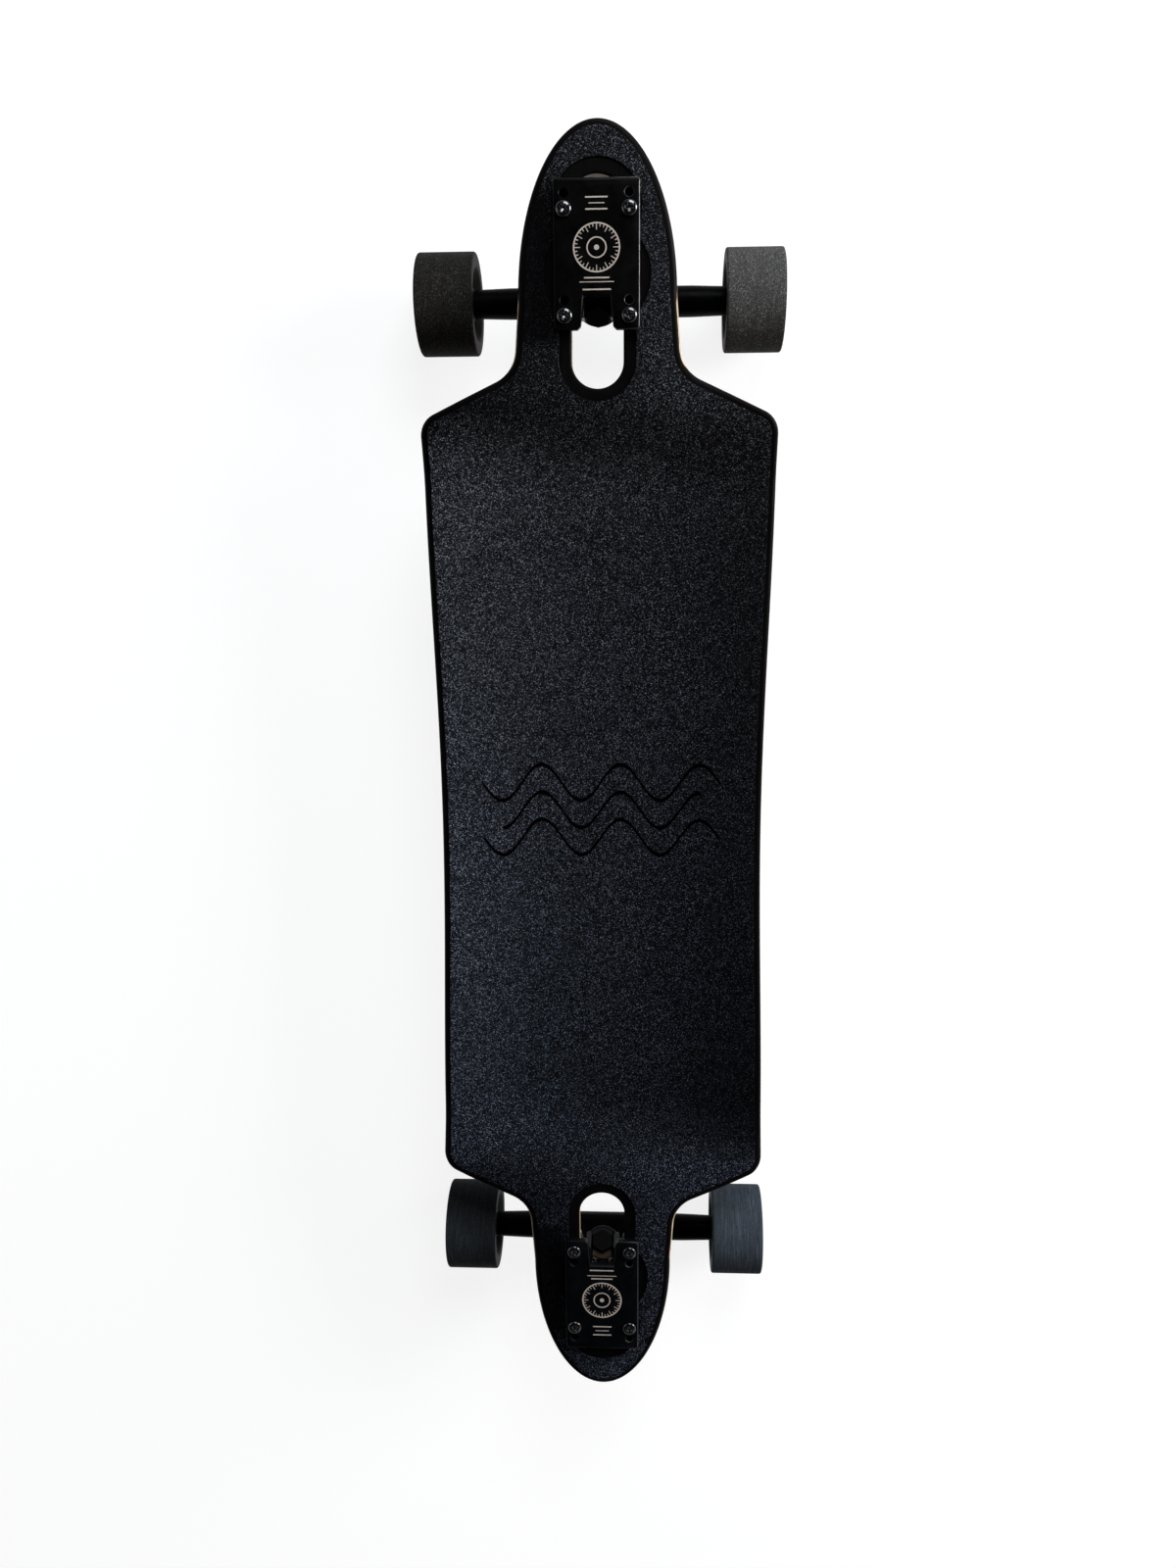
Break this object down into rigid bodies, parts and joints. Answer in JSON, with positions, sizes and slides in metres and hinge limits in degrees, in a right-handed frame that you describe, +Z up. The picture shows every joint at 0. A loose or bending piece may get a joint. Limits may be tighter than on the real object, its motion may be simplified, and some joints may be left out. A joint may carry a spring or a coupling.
{
  "type": "longboard",
  "caption": "Drop-through, dropped-platform longboard with concave deck, reverse-kingpin trucks that steer and wheels that roll.",
  "frame": {"origin": "on the ground under the middle of the deck", "axes": "+Y towards the nose, +X to the rider's right when facing the nose, +Z up"},
  "size_m": [0.247, 0.9, 0.1021],
  "materials": {
    "deck": "satin",
    "grip": "matte",
    "cast": "satin",
    "screw": "satin",
    "steel": "satin",
    "zinc": "satin",
    "bushing": "satin",
    "cup": "matte",
    "tyre": "matte",
    "core": "satin"
  },
  "bodies": {
    "board": {"deck": "deck", "grip_sheet": "grip", "front_baseplate": "cast", "front_pivot_cup": "cup", "front_kingpin": "screw", "front_kingpin_nut": "zinc", "front_boardside_bushing": "bushing", "front_roadside_bushing": "bushing", "front_boardside_washer": "zinc", "front_roadside_washer": "zinc", "front_bolt_1": "screw", "front_bolt_2": "screw", "front_bolt_3": "screw", "front_bolt_4": "screw", "front_lock_nut_1": "zinc", "front_lock_nut_2": "zinc", "front_lock_nut_3": "zinc", "front_lock_nut_4": "zinc", "rear_baseplate": "cast", "rear_pivot_cup": "cup", "rear_kingpin": "screw", "rear_kingpin_nut": "zinc", "rear_boardside_bushing": "bushing", "rear_roadside_bushing": "bushing", "rear_boardside_washer": "zinc", "rear_roadside_washer": "zinc", "rear_bolt_1": "screw", "rear_bolt_2": "screw", "rear_bolt_3": "screw", "rear_bolt_4": "screw", "rear_lock_nut_1": "zinc", "rear_lock_nut_2": "zinc", "rear_lock_nut_3": "zinc", "rear_lock_nut_4": "zinc"},
    "front_hanger_body": {"front_hanger": "cast", "front_axle": "steel", "front_left_axle_nut": "zinc", "front_right_axle_nut": "zinc"},
    "front_left_wheel": {"front_left_tyre": "tyre", "front_left_core": "core", "front_left_inner_bearing": "steel", "front_left_outer_bearing": "steel"},
    "front_right_wheel": {"front_right_tyre": "tyre", "front_right_core": "core", "front_right_inner_bearing": "steel", "front_right_outer_bearing": "steel"},
    "rear_hanger_body": {"rear_hanger": "cast", "rear_axle": "steel", "rear_left_axle_nut": "zinc", "rear_right_axle_nut": "zinc"},
    "rear_left_wheel": {"rear_left_tyre": "tyre", "rear_left_core": "core", "rear_left_inner_bearing": "steel", "rear_left_outer_bearing": "steel"},
    "rear_right_wheel": {"rear_right_tyre": "tyre", "rear_right_core": "core", "rear_right_inner_bearing": "steel", "rear_right_outer_bearing": "steel"}
  },
  "joints": [
    {"name": "front_steer", "type": "hinge", "parent": "board", "child": "front_hanger_body", "pos_m": [0, 0.3619, 0.05496], "axis": [0, 0.6691, 0.7431], "range_deg": [-18, 18], "stiffness_Nm_per_rad": 45, "deforming": ["front_boardside_bushing", "front_roadside_bushing"]},
    {"name": "front_left_spin", "type": "hinge", "parent": "front_hanger_body", "child": "front_left_wheel", "pos_m": [-0.104, 0.3497, 0.03379], "axis": [1, 0, 0], "continuous": true},
    {"name": "front_right_spin", "type": "hinge", "parent": "front_hanger_body", "child": "front_right_wheel", "pos_m": [0.104, 0.3497, 0.03379], "axis": [1, 0, 0], "continuous": true},
    {"name": "rear_steer", "type": "hinge", "parent": "board", "child": "rear_hanger_body", "pos_m": [0, -0.3619, 0.05496], "axis": [0, -0.6691, 0.7431], "range_deg": [-18, 18], "stiffness_Nm_per_rad": 45, "deforming": ["rear_boardside_bushing", "rear_roadside_bushing"]},
    {"name": "rear_left_spin", "type": "hinge", "parent": "rear_hanger_body", "child": "rear_left_wheel", "pos_m": [-0.104, -0.3497, 0.03379], "axis": [1, 0, 0], "continuous": true},
    {"name": "rear_right_spin", "type": "hinge", "parent": "rear_hanger_body", "child": "rear_right_wheel", "pos_m": [0.104, -0.3497, 0.03379], "axis": [1, 0, 0], "continuous": true}
  ]
}
